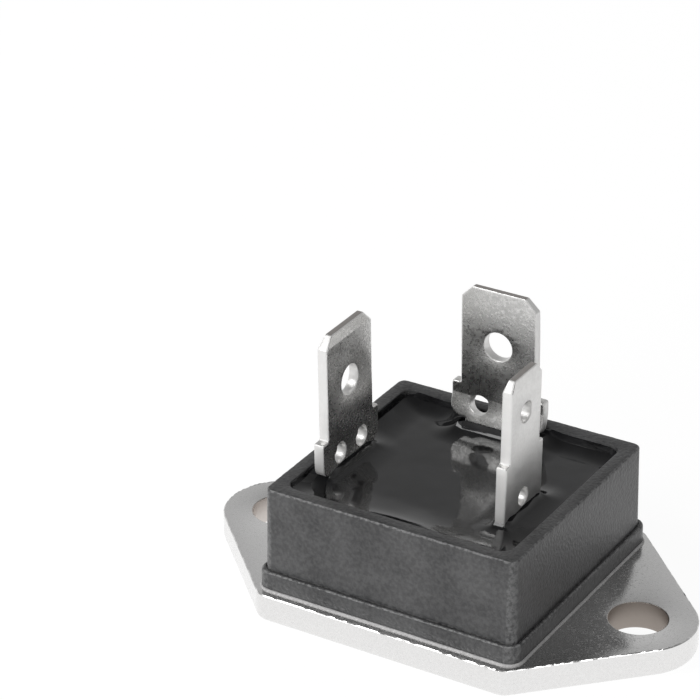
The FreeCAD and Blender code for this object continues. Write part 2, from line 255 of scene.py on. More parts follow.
class Graph:
    """A node tree with short calls for adding and linking nodes."""

    def __init__(self, tree):
        self.tree = tree
        tree.nodes.clear()

    def plug(self, socket, value):
        """Link a socket to another one, or set its plain value."""
        if isinstance(value, bpy.types.NodeSocket):
            self.tree.links.new(value, socket)
        elif isinstance(value, tuple) and len(value) == 3 and len(socket.default_value) == 4:
            socket.default_value = (*value, 1.0)
        else:
            socket.default_value = value

    def add(self, kind, inputs=(), **settings):
        """New node; inputs maps a socket's name or number to a value or a socket."""
        made = self.tree.nodes.new(kind)
        for key, value in settings.items():
            setattr(made, key, value)
        for key, value in dict(inputs).items():
            self.plug(made.inputs[key], value)
        return made

    def place(self, kind="Object"):
        """Coordinates of the point that is shaded."""
        return self.add("ShaderNodeTexCoord").outputs[kind]

    def parts(self, vector):
        """The X, Y and Z of a vector."""
        return self.add("ShaderNodeSeparateXYZ", {0: vector}).outputs

    def attribute(self, name):
        """Value that the mesh carries under a name."""
        return self.add("ShaderNodeAttribute", attribute_name=name).outputs["Fac"]

    def noise(self, place, scale, detail=2.0, roughness=0.5):
        """Value of a noise field, from 0 to 1."""
        inputs = {"Vector": place, "Scale": scale, "Detail": detail, "Roughness": roughness}
        return self.add("ShaderNodeTexNoise", inputs).outputs["Fac"]

    def remap(self, value, low, high, to_low=0.0, to_high=1.0, kind="SMOOTHSTEP"):
        """Value moved from one range to another and held within it."""
        inputs = {"Value": value, "From Min": low, "From Max": high,
                  "To Min": to_low, "To Max": to_high}
        made = self.add("ShaderNodeMapRange", inputs, interpolation_type=kind)
        return made.outputs["Result"]

    def math(self, operation, *values):
        """Result of one operation on its values."""
        return self.add("ShaderNodeMath", enumerate(values), operation=operation).outputs[0]

    def mix(self, factor, first, second):
        """Blend of two colours."""
        made = self.add("ShaderNodeMix", {"Factor": factor}, data_type="RGBA")
        colours = [socket for socket in made.inputs if socket.type == "RGBA"]
        self.plug(colours[0], first)
        self.plug(colours[1], second)
        return next(socket for socket in made.outputs if socket.type == "RGBA")

    def bump(self, height, distance, **base):
        """Normal bent by a height field; the distance is in metres."""
        inputs = {"Height": height, "Distance": distance, **base}
        return self.add("ShaderNodeBump", inputs).outputs["Normal"]

    def group(self, tree, inputs):
        """Place a node group."""
        return self.add("ShaderNodeGroup", inputs, node_tree=tree).outputs

    def surface(self, inputs):
        """Principled shader as the surface of the material."""
        shader = self.add("ShaderNodeBsdfPrincipled", inputs)
        self.add("ShaderNodeOutputMaterial", {"Surface": shader.outputs["BSDF"]})


def new_group(name, inputs, outputs):
    """Empty node group; inputs and outputs map the name of each socket to its kind."""
    tree = bpy.data.node_groups.new(name, "ShaderNodeTree")
    for side, sockets in (("INPUT", inputs), ("OUTPUT", outputs)):
        for label, kind in sockets.items():
            tree.interface.new_socket(label, in_out=side, socket_type="NodeSocket" + kind)
    graph = Graph(tree)
    entry, leave = tree.nodes.new("NodeGroupInput"), tree.nodes.new("NodeGroupOutput")
    return tree, graph, entry.outputs, leave.inputs


def new_material(name):
    """Material without nodes as yet, and its graph."""
    material = bpy.data.materials.new(name)
    material.use_nodes = True
    return material, Graph(material.node_tree)


# %% [markdown]
# Two effects serve several finishes, so each is a node group. The first gives slow clouds and a
# fine grain as masks. The second turns two sizes of noise into one uneven normal, with heights in
# metres.

# %% Shared effects
clouds_and_grain, graph, entry, leave = new_group(
    "clouds and grain", {"Vector": "Vector", "Cloud Scale": "Float", "Grain Scale": "Float"},
    {"Cloud": "Float", "Grain": "Float"})
cloud = graph.noise(entry["Vector"], entry["Cloud Scale"], 3.0)
grain = graph.noise(entry["Vector"], entry["Grain Scale"], 2.0, 0.6)
graph.plug(leave["Cloud"], graph.remap(cloud, 0.35, 0.65))
graph.plug(leave["Grain"], graph.remap(grain, 0.3, 0.7))

fine_relief, graph, entry, leave = new_group(
    "fine relief", {"Vector": "Vector", "Fine Scale": "Float", "Fine Height": "Float",
                    "Coarse Scale": "Float", "Coarse Height": "Float"}, {"Normal": "Vector"})
coarse = graph.bump(graph.noise(entry["Vector"], entry["Coarse Scale"]), entry["Coarse Height"])
graph.plug(leave["Normal"], graph.bump(graph.noise(entry["Vector"], entry["Fine Scale"]),
                                       entry["Fine Height"], Normal=coarse))


def clouds(graph, place, cloud_scale, grain_scale):
    """Masks of slow clouds and of a fine grain."""
    masks = graph.group(clouds_and_grain, {
        "Vector": place, "Cloud Scale": cloud_scale, "Grain Scale": grain_scale})
    return masks["Cloud"], masks["Grain"]


def relief(graph, place, fine, coarse):
    """Uneven normal; fine and coarse are each (scale, height)."""
    return graph.group(fine_relief, {
        "Vector": place, "Fine Scale": fine[0], "Fine Height": fine[1],
        "Coarse Scale": coarse[0], "Coarse Height": coarse[1]})["Normal"]


print("node groups:", len(bpy.data.node_groups))

# %% [markdown]
# The plate carries satin nickel, which mirrors the dark frame softly. So its roughness is low and
# varies in slow clouds, and small rough specks catch the light. The walls of the holes are rough
# as bare metal, and their brown colour is darkened with painted shade, the right one more than the
# left one. A mask by the distance from the hole's axis finds them; it serves both holes, because
# they mirror each other.

# %% Nickel plate
PLATE_TONES = (0.77, 0.765, 0.76), (0.82, 0.815, 0.81)
# Hole-wall tones: brown bare metal darkened with painted shade; the right hole takes the darker
# one.
BORE_TONES_WITH_PAINTED_SHADE = (0.36, 0.32, 0.29), (0.68, 0.64, 0.61)
MASK_START, MASK_END = (HOLE_RADIUS + 0.02) * MM, (HOLE_RADIUS + 0.09) * MM
PLATE_ROUGHNESS, CLOUD_ROUGHER, BARE_ROUGHER = 0.13, 0.05, 0.35
SPECK_SHARE = 0.55


def hole_mask(graph, place):
    """One near the axis of either fixing hole, and zero elsewhere."""
    parts = graph.parts(place)
    along = graph.math("SUBTRACT", graph.math("ABSOLUTE", parts["X"]), HOLE_CENTRE * MM)
    flat = graph.add("ShaderNodeCombineXYZ", {"X": along, "Y": parts["Y"]}).outputs[0]
    away = graph.add("ShaderNodeVectorMath", {0: flat}, operation="LENGTH").outputs["Value"]
    return graph.remap(away, MASK_START, MASK_END, 1.0, 0.0)


def make_nickel():
    """Satin nickel with rough specks, and bare hole walls darkened with painted shade."""
    material, graph = new_material("nickel plate")
    place = graph.place()
    cloud, grain = clouds(graph, place, 330.0, 6500.0)
    bare = hole_mask(graph, place)
    # Hole-wall colour with painted shade, darker in the right hole than in the left one.
    bore_with_painted_shade = graph.mix(graph.math("LESS_THAN", graph.parts(place)["X"], 0.0), *BORE_TONES_WITH_PAINTED_SHADE)
    specks = graph.remap(graph.noise(place, 5200.0, 2.0, 0.6), 0.54, 0.68)
    rough = graph.math("MAXIMUM", bare, graph.math("MULTIPLY", specks, SPECK_SHARE))
    polish = graph.math("MULTIPLY_ADD", cloud, CLOUD_ROUGHER, PLATE_ROUGHNESS)
    graph.surface({
        "Base Color": graph.mix(bare, graph.mix(grain, *PLATE_TONES), bore_with_painted_shade), "Metallic": 1.0,
        "Roughness": graph.math("MULTIPLY_ADD", rough, BARE_ROUGHER, polish),
        "Normal": relief(graph, place, (7000.0, 2.6e-6), (420.0, 1.2e-6))})
    return material


nickel = make_nickel()
print("nickel plate:", len(nickel.node_tree.nodes), "nodes")

# %% [markdown]
# The blades carry tin. Its fine grain shows as mottling, and the press drew faint lines along the
# blade, which are a noise field stretched along the height. Two attributes of the mesh say where
# the metal differs: "matt" on the sheared edges and on the outer side of the sheet, which are
# paler and scatter more, and "bare" on the cut tips.

# %% Tinned blades
TIN_TONES = (0.62, 0.615, 0.605), (0.74, 0.735, 0.725)
MATT_TONE, BARE_TONE = (0.78, 0.775, 0.765), (0.41, 0.385, 0.37)
MATT_METALLIC, MATT_ROUGHER = 0.65, 0.2
DRAWN_OUT = (1.0, 1.0, 0.06)


def make_tin():
    """Tin with a fine grain and faint drawn lines, matt or bare where the mesh says so."""
    material, graph = new_material("tinned blade")
    place = graph.place()
    cloud, fine = clouds(graph, place, 1500.0, 4200.0)
    grain = graph.math("MULTIPLY_ADD", fine, 0.7, graph.math("MULTIPLY", cloud, 0.3))
    matt, bare = graph.attribute("matt"), graph.attribute("bare")
    coated = graph.mix(matt, graph.mix(grain, *TIN_TONES), MATT_TONE)
    polish = graph.remap(grain, 0.0, 1.0, 0.36, 0.2, "LINEAR")
    along = graph.add("ShaderNodeMapping", {"Vector": place, "Scale": DRAWN_OUT}).outputs["Vector"]
    graph.surface({
        "Base Color": graph.mix(bare, coated, BARE_TONE),
        "Metallic": graph.remap(matt, 0.0, 1.0, 1.0, MATT_METALLIC, "LINEAR"),
        "Roughness": graph.math("MULTIPLY_ADD", matt, MATT_ROUGHER, polish),
        "Normal": graph.bump(graph.noise(along, 9000.0), 1e-6,
                             Normal=relief(graph, place, (5000.0, 9e-6), (2200.0, 3e-6)))})
    return material


tin = make_tin()
print("tinned blade:", len(tin.node_tree.nodes), "nodes")

# %% [markdown]
# The frame is moulded in a dark grey plastic. The mould's fine texture breaks its gloss, and a
# slow change of tone keeps it from looking flat. An attribute of the mesh says where the colour is
# pale: worn by handling at the rim, and a painted highlight at the foot's edge and the corners.
# Noise breaks the pale line up.

# %% Moulded plastic
PLASTIC_TONES = (0.026, 0.026, 0.027), (0.076, 0.076, 0.077)
# Pale tone: wear on the rim's edge, and a painted highlight on the foot's edge and the corners.
PALE_WEAR_AND_HIGHLIGHT_TONE = (0.34, 0.34, 0.34)


def make_housing_plastic():
    """Dark grey moulded plastic with a worn rim edge and painted highlights on foot and corners."""
    material, graph = new_material("moulded housing")
    place = graph.place()
    cloud, grain = clouds(graph, place, 300.0, 3400.0)
    tone = graph.math("MULTIPLY_ADD", grain, 0.55, graph.math("MULTIPLY", cloud, 0.45))
    broken = graph.remap(graph.noise(place, 3200.0, 3.0, 0.7), 0.38, 0.6)
    # Pale mask: wear at the rim, painted highlight at the foot's edge and the corners.
    worn = graph.math("MULTIPLY", graph.attribute("worn"), broken)
    graph.surface({
        "Base Color": graph.mix(worn, graph.mix(tone, *PLASTIC_TONES), PALE_WEAR_AND_HIGHLIGHT_TONE),
        "Roughness": graph.remap(cloud, 0.0, 1.0, 0.34, 0.40, "LINEAR"),
        "Normal": relief(graph, place, (4000.0, 50e-6), (1100.0, 14e-6))})
    return material


housing_plastic = make_housing_plastic()
print("moulded housing:", len(housing_plastic.node_tree.nodes), "nodes")

# %% [markdown]
# The pale adhesive and the solder, copper, gel, ceramic and silicon inside share one recipe with
# their own tones. The black cap is another matter, because it mirrors everything above it, so it
# gets a low roughness and a very slight ripple only.

# %% Cap, adhesive and inner materials


def make_plain(name, dark, light, roughness, scales, fine, coarse, metallic=0.0):
    """Plain finish with a little grain; roughness is a range, fine and coarse are as in relief."""
    material, graph = new_material(name)
    place = graph.place()
    cloud, grain = clouds(graph, place, *scales)
    graph.surface({
        "Base Color": graph.mix(grain, dark, light), "Metallic": metallic,
        "Roughness": graph.remap(cloud, 0.0, 1.0, *roughness),
        "Normal": relief(graph, place, fine, coarse)})
    return material


def make_metal(name, dark, light, roughness):
    """Dull metal for the pieces under the fill."""
    return make_plain(name, dark, light, (roughness, roughness + 0.12), (800.0, 6000.0),
                      (8000.0, 1.5e-6), (900.0, 4e-6), 1.0)


def make_fill(name, dark, light, roughness, fine_height):
    """Plain cured or fired material."""
    return make_plain(name, dark, light, (roughness, roughness + 0.1), (500.0, 4500.0),
                      (4500.0, fine_height), (900.0, 8e-6))


def make_potting():
    """Glossy black cap that levelled itself before it set."""
    material, graph = new_material("potting epoxy")
    place = graph.place()
    cloud, _ = clouds(graph, place, 500.0, 9000.0)
    graph.surface({
        "Base Color": graph.mix(cloud, (0.006, 0.006, 0.0065), (0.011, 0.011, 0.012)),
        "Roughness": graph.remap(cloud, 0.0, 1.0, 0.05, 0.1), "IOR": 1.5,
        "Normal": relief(graph, place, (2600.0, 1.5e-6), (600.0, 9e-6))})
    return material


solder = make_metal("solder", (0.45, 0.45, 0.46), (0.62, 0.62, 0.63), 0.36)
copper = make_metal("bonded copper", (0.62, 0.32, 0.20), (0.80, 0.45, 0.30), 0.3)
potting = make_potting()
adhesive = make_fill("adhesive bead", (0.38, 0.375, 0.375), (0.47, 0.465, 0.465), 0.42, 3e-6)
gel = make_fill("silicone gel", (0.50, 0.50, 0.47), (0.62, 0.62, 0.58), 0.2, 1e-6)
ceramic = make_fill("alumina", (0.76, 0.75, 0.72), (0.84, 0.83, 0.80), 0.55, 2e-6)
silicon = make_fill("silicon chip", (0.09, 0.09, 0.11), (0.14, 0.14, 0.16), 0.12, 5e-7)
print("materials:", ", ".join(material.name for material in bpy.data.materials))

# %% [markdown]
# The base plate is a stamped sheet with two rounded ends. Its outline is the hull of six rounds,
# one about each fixing hole and one in each flat corner, which gives the straight sides their true
# tangents. The die rolled the lower edge over and left a fine burr on the upper one. The burr
# moves only the ring of points beside the flat top, whose own edges are marked sharp, or its long
# triangles would show streaks.

# %% Base plate
PLATE_FLAT_HALF = 10.05
PLATE_CORNER_RADIUS = 1.4
PLATE_LOWER_ROUND = 0.5
PLATE_UPPER_BREAK = 0.06
HOLE_LOWER_ROUND = 0.22
HOLE_UPPER_BREAK = 0.08
BURR_WAVES = (0.024, 0.6, 0.0), (0.048, 0.22, 0.0)
PLATE_SPACING = 0.2
ROUND_SEGMENTS, HOLE_SEGMENTS = 128, 96
end_radius = plate_high.x - HOLE_CENTRE


def corner_round():
    """Centre of the round in a corner of the plate, where two straight sides meet."""
    corner = Vector((PLATE_FLAT_HALF - HOLE_CENTRE, plate_high.y))
    touch = math.atan2(corner.y, corner.x) - math.acos(end_radius / corner.length)
    outward = Vector((math.cos(touch), math.sin(touch)))
    y = plate_high.y - PLATE_CORNER_RADIUS
    x = (end_radius - PLATE_CORNER_RADIUS - outward.y * y) / outward.x
    return HOLE_CENTRE + x, y


def plate_face(mesh):
    """The plate's outline as one flat face."""
    x, y = corner_round()
    rounds = [(side * HOLE_CENTRE, 0.0, end_radius) for side in (1, -1)]
    rounds += [(side * x, end * y, PLATE_CORNER_RADIUS) for side in (1, -1) for end in (1, -1)]
    for centre_x, centre_y, radius in rounds:
        bmesh.ops.create_cone(mesh, cap_ends=True, segments=ROUND_SEGMENTS, radius1=radius,
                              radius2=radius, depth=1.0,
                              matrix=Matrix.Translation((centre_x, centre_y, 0.0)))
    hull = bmesh.ops.convex_hull(mesh, input=mesh.verts[:])
    bmesh.ops.delete(mesh, geom=only(hull["geom_interior"], BMVert), context="VERTS")
    bmesh.ops.dissolve_limit(mesh, angle_limit=0.01, verts=mesh.verts[:], edges=mesh.edges[:])
    outline = max(mesh.faces, key=lambda face: face.calc_center_median().z)
    bmesh.ops.delete(mesh, geom=[face for face in mesh.faces if face != outline], context="FACES")
    cut_long_edges(mesh, PLATE_SPACING)
    rise = PLATE_LOWER_ROUND - mesh.verts[:][0].co.z
    bmesh.ops.translate(mesh, verts=mesh.verts[:], vec=(0, 0, rise))
    return outline


def uneven(place, waves):
    """Smooth noise about zero at a place; each wave is (height, size, seed)."""
    return sum(height * noise.noise(Vector((place.x, place.y, place.z + seed)) / size)
               for height, size, seed in waves)


def make_base_plate():
    """Stamped plate with two fixing holes."""
    mesh = bmesh.new()
    face = plate_face(mesh)
    height = PLATE_TOP - PLATE_UPPER_BREAK - PLATE_LOWER_ROUND
    upper = [(PLATE_UPPER_BREAK, PLATE_UPPER_BREAK)]
    caps = slab(mesh, face, height, upper, round_over(PLATE_LOWER_ROUND, 6))
    flat = set(caps[0].verts)
    for vertex in mesh.verts:
        if vertex.co.z > PLATE_TOP - PLATE_UPPER_BREAK + NEAR and vertex not in flat:
            vertex.co.z += uneven(vertex.co, BURR_WAVES)
    for edge in mesh.edges:
        if flat.issuperset(edge.verts):
            edge.smooth = False
    holes = [(side * HOLE_CENTRE, 0.0, HOLE_RADIUS) for side in (1, -1)]
    open_holes(mesh, caps, holes, round_over(HOLE_UPPER_BREAK, 3),
               round_over(HOLE_LOWER_ROUND, 4), HOLE_SEGMENTS)
    finish_piece("plate_body", mesh, nickel, "base_plate")


make_base_plate()

# %% [markdown]
# The frame is an open wall with a foot. Its outside grows from the foot's outline: up the foot, in
# over the rounded step, down into a fine groove, and up the leaning wall to the rim.

# %% Housing outside
FOOT_HEIGHT = 1.44
FOOT_TOP = FOOT_BOTTOM + FOOT_HEIGHT
FOOT_RADIUS = 1.05
FOOT_ROUND = 0.2
BODY_HALF_X, BODY_HALF_Y = 10.2, 9.75
BODY_DRAFT = 0.1
GROOVE_DEPTH, GROOVE_WIDTH, GROOVE_SLOPE, GROOVE_LIP = 0.1, 0.12, 0.02, 0.05
WALL_PIECES = 6
RIM_ROUND = 0.16
SIDE_CUTS = 150
CORNER_SEGMENTS = 8


def cut_sides(mesh):
    """Divide the four long sides of a rounded rectangle, so that their counts agree."""
    for edge in sorted(mesh.edges, key=lambda item: item.calc_length())[-4:]:
        bmesh.ops.subdivide_edges(mesh, edges=[edge], cuts=SIDE_CUTS)


def ring_outline(half_x, half_y, radius, z):
    """Flat rounded rectangle at a height, with evenly cut sides; returns the mesh and its face."""
    mesh = rounded_face(rectangle(half_x, half_y), [radius] * 4, CORNER_SEGMENTS)
    cut_sides(mesh)
    bmesh.ops.translate(mesh, verts=mesh.verts[:], vec=(0, 0, z))
    return mesh, mesh.faces[:][0]


def fit(mesh, face, half_x, half_y):
    """Scale a face so that it reaches the given half sizes."""
    reach_x = max(vertex.co.x for vertex in face.verts)
    reach_y = max(vertex.co.y for vertex in face.verts)
    bmesh.ops.scale(mesh, verts=face.verts[:], vec=(half_x / reach_x, half_y / reach_y, 1))


def housing_outside():
    """The outer skin, open at the rim and below."""
    mesh, face = ring_outline(housing_high.x, housing_high.y, FOOT_RADIUS, FOOT_BOTTOM)
    step(mesh, face, (0.0, FOOT_HEIGHT - FOOT_ROUND), *round_over(FOOT_ROUND, 4), (0.0, 0.0))
    beyond = BODY_DRAFT + GROOVE_WIDTH
    fit(mesh, face, BODY_HALF_X + beyond, BODY_HALF_Y + beyond)
    step(mesh, face, (GROOVE_SLOPE, -GROOVE_DEPTH), (GROOVE_WIDTH - 2 * GROOVE_SLOPE, 0.0),
         (GROOVE_SLOPE, GROOVE_DEPTH + GROOVE_LIP))
    wall = RIM_TOP - RIM_ROUND - FOOT_TOP - GROOVE_LIP
    step(mesh, face, *[(BODY_DRAFT / WALL_PIECES, wall / WALL_PIECES)] * WALL_PIECES,
         *round_over(RIM_ROUND, 4))
    bmesh.ops.delete(mesh, geom=[face], context="FACES_ONLY")
    return mesh


print(f"foot top at {FOOT_TOP:.2f} mm, rim at {RIM_TOP:.2f} mm")

# %% [markdown]
# The inside is a second outline that grows on its own and then joins the first mesh. Bridges close
# the rim above and the underside below, because both outlines have equal counts of points. The
# adhesive is such a ring as well.

# %% Inner wall
RIM_INNER_BREAK = 0.1


def add_inner_wall(mesh, bottom, height, rim_steps=()):
    """Give a ring its inner wall, from the underside up to the rim and out over its edge."""
    inside, face = ring_outline(CAVITY_HALF_X, CAVITY_HALF_Y, CAVITY_RADIUS, bottom)
    step(inside, face, (0.0, height), *((-inward, along) for inward, along in rim_steps))
    bmesh.ops.delete(inside, geom=[face], context="FACES_ONLY")
    data = bpy.data.meshes.new("inner wall")
    inside.to_mesh(data)
    inside.free()
    mesh.from_mesh(data)
    bpy.data.meshes.remove(data)


def close_between(mesh, z):
    """Bridge the two open loops that lie at one height."""
    loops = [edge for edge in mesh.edges
             if edge.is_boundary and all(abs(vertex.co.z - z) < 1e-4 for vertex in edge.verts)]
    bmesh.ops.bridge_loops(mesh, edges=loops)


print(f"inner wall {2 * CAVITY_HALF_X:.2f} x {2 * CAVITY_HALF_Y:.2f} mm")

# %% [markdown]
# The frame is worn pale where it is touched most, at the rim's outer edge. The foot's upper edge
# and, a little, the corners get the same pale tone as a painted highlight. The mould left a hair of
# flash along the rim, so noise moves that edge in and out. The wear and the painted highlight are
# written first, while each ring is level.

# %% Housing
OUTER_SHARE = 0.95
# Pale shares: wear at the rim's edge; painted highlight at the foot's edge and the corners.
WORN_RIM, FOOT_PAINTED_HIGHLIGHT, CORNER_PAINTED_HIGHLIGHT = 0.35, 0.5, 0.2
FOOT_HIGHLIGHT_DEPTH, CORNER_HIGHLIGHT_REACH = 0.12, 0.5
FLASH_WAVES = (0.028, 0.45, 1.0), (0.0224, 0.16, 7.0)


def is_outside(place):
    """Whether a place is on the frame's outer skin and not on its inner wall."""
    return max(abs(place.x) / BODY_HALF_X, abs(place.y) / BODY_HALF_Y) > OUTER_SHARE


def push_out(vertex, distance):
    """Move a vertex level and away from the middle."""
    vertex.co += Vector((vertex.co.x, vertex.co.y, 0.0)).normalized() * distance


def mark_wear_and_highlight(mesh):
    """Write how pale each place is: worn at the rim, painted highlight at the foot and the corners.
    """
    worn = mesh.verts.layers.float.new("worn")
    corner_x, corner_y = BODY_HALF_X - CORNER_HIGHLIGHT_REACH, BODY_HALF_Y - CORNER_HIGHLIGHT_REACH
    for vertex in mesh.verts:
        if not is_outside(vertex.co):
            continue
        z = vertex.co.z
        if RIM_TOP - RIM_ROUND + NEAR < z < RIM_TOP - NEAR:
            vertex[worn] = WORN_RIM
        # The foot's upper edge and the corners get a painted highlight.
        elif FOOT_TOP - FOOT_HIGHLIGHT_DEPTH < z < FOOT_TOP - NEAR:
            vertex[worn] = FOOT_PAINTED_HIGHLIGHT
        elif abs(vertex.co.x) > corner_x and abs(vertex.co.y) > corner_y and z < RIM_TOP - NEAR:
            vertex[worn] = CORNER_PAINTED_HIGHLIGHT


def make_housing():
    """The moulded frame, with a fine flash along its outer rim."""
    mesh = housing_outside()
    inner_height = RIM_TOP - RIM_INNER_BREAK - FOOT_BOTTOM
    add_inner_wall(mesh, FOOT_BOTTOM, inner_height, round_over(RIM_INNER_BREAK, 2))
    close_between(mesh, RIM_TOP)
    close_between(mesh, FOOT_BOTTOM)
    mark_wear_and_highlight(mesh)
    for vertex in mesh.verts:
        if RIM_TOP - RIM_ROUND < vertex.co.z < RIM_TOP - NEAR and is_outside(vertex.co):
            push_out(vertex, uneven(vertex.co, FLASH_WAVES))
    finish_piece("housing_body", mesh, housing_plastic, "housing", 40)


make_housing()

# %% [markdown]
# A thin layer of pale adhesive holds the frame. What squeezed out stands as a low uneven bead
# round the foot, so the ring's outer edge is rounded and swells a little here and there.

# %% Adhesive bead
BEAD_WIDTH = 0.14
BEAD_HEIGHT = 0.16
BEAD_LIP = 0.01
SWELL_WAVES = (0.25, 1.6, 3.0), (0.1, 0.5, 4.0)


def make_adhesive():
    """Layer under the foot with its bead."""
    mesh, face = ring_outline(housing_high.x + BEAD_WIDTH, housing_high.y + BEAD_WIDTH,
                              FOOT_RADIUS + BEAD_WIDTH, PLATE_TOP)
    step(mesh, face, (0.0, BEAD_HEIGHT - BEAD_WIDTH), *round_over(BEAD_WIDTH - BEAD_LIP, 5))
    step(mesh, face, (0.0, FOOT_BOTTOM - face.verts[0].co.z))
    bmesh.ops.delete(mesh, geom=[face], context="FACES_ONLY")
    add_inner_wall(mesh, PLATE_TOP, FOOT_BOTTOM - PLATE_TOP)
    close_between(mesh, FOOT_BOTTOM)
    close_between(mesh, PLATE_TOP)
    for vertex in mesh.verts:
        over = max(abs(vertex.co.x) - housing_high.x, abs(vertex.co.y) - housing_high.y)
        if over > 0.0:
            push_out(vertex, over * uneven(vertex.co, SWELL_WAVES))
    finish_piece("adhesive_bead", mesh, adhesive, "housing_adhesive", 50)


make_adhesive()

# %% [markdown]
# The black cap levelled itself about a millimetre below the rim. Where each blade goes through its
# surface is worked out first. The rear blade steps forward below its bend, so its root lies in
# front of its tip.

# %% Blade roots
FILL_TOP = RIM_TOP - 1.13
SHEET = 0.8
T2_STEP = 1.75
T2_BEND_Z = 12.13
ROOT_RISE = 0.4
WIDE_HALF, GATE_HALF = 3.85, 2.75
ROOT_CORNER = 0.75
row_y = (t1_low.y + t1_high.y) / 2
t1_x = t1_low.x + SHEET / 2
gate_x = gate_high.x - SHEET / 2
t2_x = (t2_low.x + t2_high.x) / 2
t2_y = t2_high.y - SHEET / 2
rear_foot = t2_low.z + SHEET / 2
t2_root_y = t2_y - T2_STEP * (T2_BEND_Z - FILL_TOP - ROOT_RISE) / (T2_BEND_Z - rear_foot)


def root_at(x, y, half_x, half_y):
    """A blade's root as (low x, low y, high x, high y)."""
    return x - half_x, y - half_y, x + half_x, y + half_y


roots = [root_at(t1_x, row_y, SHEET / 2, WIDE_HALF - ROOT_CORNER),
         root_at(t2_x, t2_root_y, WIDE_HALF - ROOT_CORNER, SHEET / 2),
         root_at(gate_x, row_y, SHEET / 2, GATE_HALF)]
print("roots:", [[round(value, 2) for value in root] for root in roots])

# %% [markdown]
# Before it set, the fill crept up the walls and the blades. A broad shallow dish mirrors the
# surroundings softly, and differs on the four sides as in the real part. A steep narrow film
# stands against each wall and blade, and is lower at the narrow ends of a blade. Slow noise keeps
# all of it from looking turned on a lathe.

# %% Crept edges
SIDE_DISHES = {"left": (0.6, 2.4), "right": (0.2, 1.0), "front": (0.75, 4.4), "rear": (0.5, 1.7)}
FILM_HEIGHT, FILM_REACH = 0.45, 0.12
BLADE_DISHES, BLADE_DISH_REACH = (0.34, 0.6, 0.4), 2.2
BLADE_CLIMB, BLADE_REACH = 0.42, 0.5
END_CLIMB, END_REACH = 0.35, 0.8
LEVEL_WAVES = (0.02, 4.5, 2.0), (0.006, 1.3, 9.0)
WALL_WAVES, ROOT_WAVES = ((0.3, 3.0, 5.0),), ((0.35, 1.5, 4.0),)
BELOW_RIM = 0.12


def past_corner(x, y):
    """How far a point lies past the centre of the cavity's corner round, in x and in y."""
    return abs(x) - (CAVITY_HALF_X - CAVITY_RADIUS), abs(y) - (CAVITY_HALF_Y - CAVITY_RADIUS)


def distance_to_wall(x, y):
    """Distance from a point inside the cavity to its rounded wall."""
    over_x, over_y = past_corner(x, y)
    outside = math.hypot(max(over_x, 0.0), max(over_y, 0.0))
    return max(0.0, CAVITY_RADIUS - outside - min(max(over_x, over_y), 0.0))


def distance_to_root(x, y, root):
    """Distance from a point to a blade's root, zero inside it."""
    low_x, low_y, high_x, high_y = root
    return math.hypot(max(low_x - x, 0.0, x - high_x), max(low_y - y, 0.0, y - high_y))


def climb(distance, height, reach, power=2.6):
    """Height of the crept edge at a distance from what it climbs."""
    return height * max(0.0, 1.0 - distance / reach) ** power


def end_share(x, y, root):
    """Share of the full climb beside a root: less towards its two narrow ends."""
    low_x, low_y, high_x, high_y = root
    if high_x - low_x > high_y - low_y:
        inside = min(x - low_x, high_x - x)
    else:
        inside = min(y - low_y, high_y - y)
    t = min(1.0, max(0.0, inside / END_REACH))
    return END_CLIMB + (1.0 - END_CLIMB) * t * t * (3.0 - 2.0 * t)


def wall_dish(x, y):
    """Broad rise towards the four walls, each with its own height and reach."""
    away = {"left": x + CAVITY_HALF_X, "right": CAVITY_HALF_X - x,
            "front": y + CAVITY_HALF_Y, "rear": CAVITY_HALF_Y - y}
    return math.hypot(*(climb(away[side], height, reach, 2.0)
                        for side, (height, reach) in SIDE_DISHES.items()))


def fill_height(x, y):
    """Height of the set surface."""
    place = Vector((x, y, 0.0))
    height = FILL_TOP + uneven(place, LEVEL_WAVES)
    height += wall_dish(x, y) * (1.0 + uneven(place, WALL_WAVES))
    height += climb(distance_to_wall(x, y), FILM_HEIGHT, FILM_REACH, 1.0)
    for root, dish in zip(roots, BLADE_DISHES):
        away = distance_to_root(x, y, root)
        share = (1.0 + uneven(place, ROOT_WAVES)) * end_share(x, y, root)
        height += climb(away, dish, BLADE_DISH_REACH, 2.0)
        height += climb(away, BLADE_CLIMB * share, BLADE_REACH)
    return min(height, RIM_TOP - BELOW_RIM)


print(f"level at the middle {fill_height(0.0, 0.0):.2f} mm, at the left wall "
      f"{fill_height(-CAVITY_HALF_X, 0.0):.2f} mm")

# %% [markdown]
# A fine grid is the plainest start for such a surface. Its points crowd towards the walls, where
# the surface bends most, and its corners are pulled in to the cavity's rounds. Twelve cuts make
# room for the blades, each point gets its height, and the edges are drawn down to the gel.

# %% Fill cap
GRID_CUTS = 150
CROWDING = 0.35


def crowd_and_round(x, y):
    """Grid place from -1 to 1 moved towards the walls, and into the rounded corners."""
    x, y = (half * ((1.0 + CROWDING) * t - CROWDING * t ** 3)
            for half, t in ((CAVITY_HALF_X, x), (CAVITY_HALF_Y, y)))
    over_x, over_y = past_corner(x, y)
    if over_x > 0 and over_y > 0:
        reach = max(over_x, over_y) / math.hypot(over_x, over_y)
        x = math.copysign(CAVITY_HALF_X - CAVITY_RADIUS + over_x * reach, x)
        y = math.copysign(CAVITY_HALF_Y - CAVITY_RADIUS + over_y * reach, y)
    return x, y


def cut_across(mesh, axis, place):
    """Cut the whole mesh by a plane across one axis."""
    normal = Vector((0, 0, 0))
    normal[axis] = 1.0
    geometry = mesh.verts[:] + mesh.edges[:] + mesh.faces[:]
    bmesh.ops.bisect_plane(mesh, geom=geometry, dist=1e-5, plane_co=normal * place,
                           plane_no=normal)


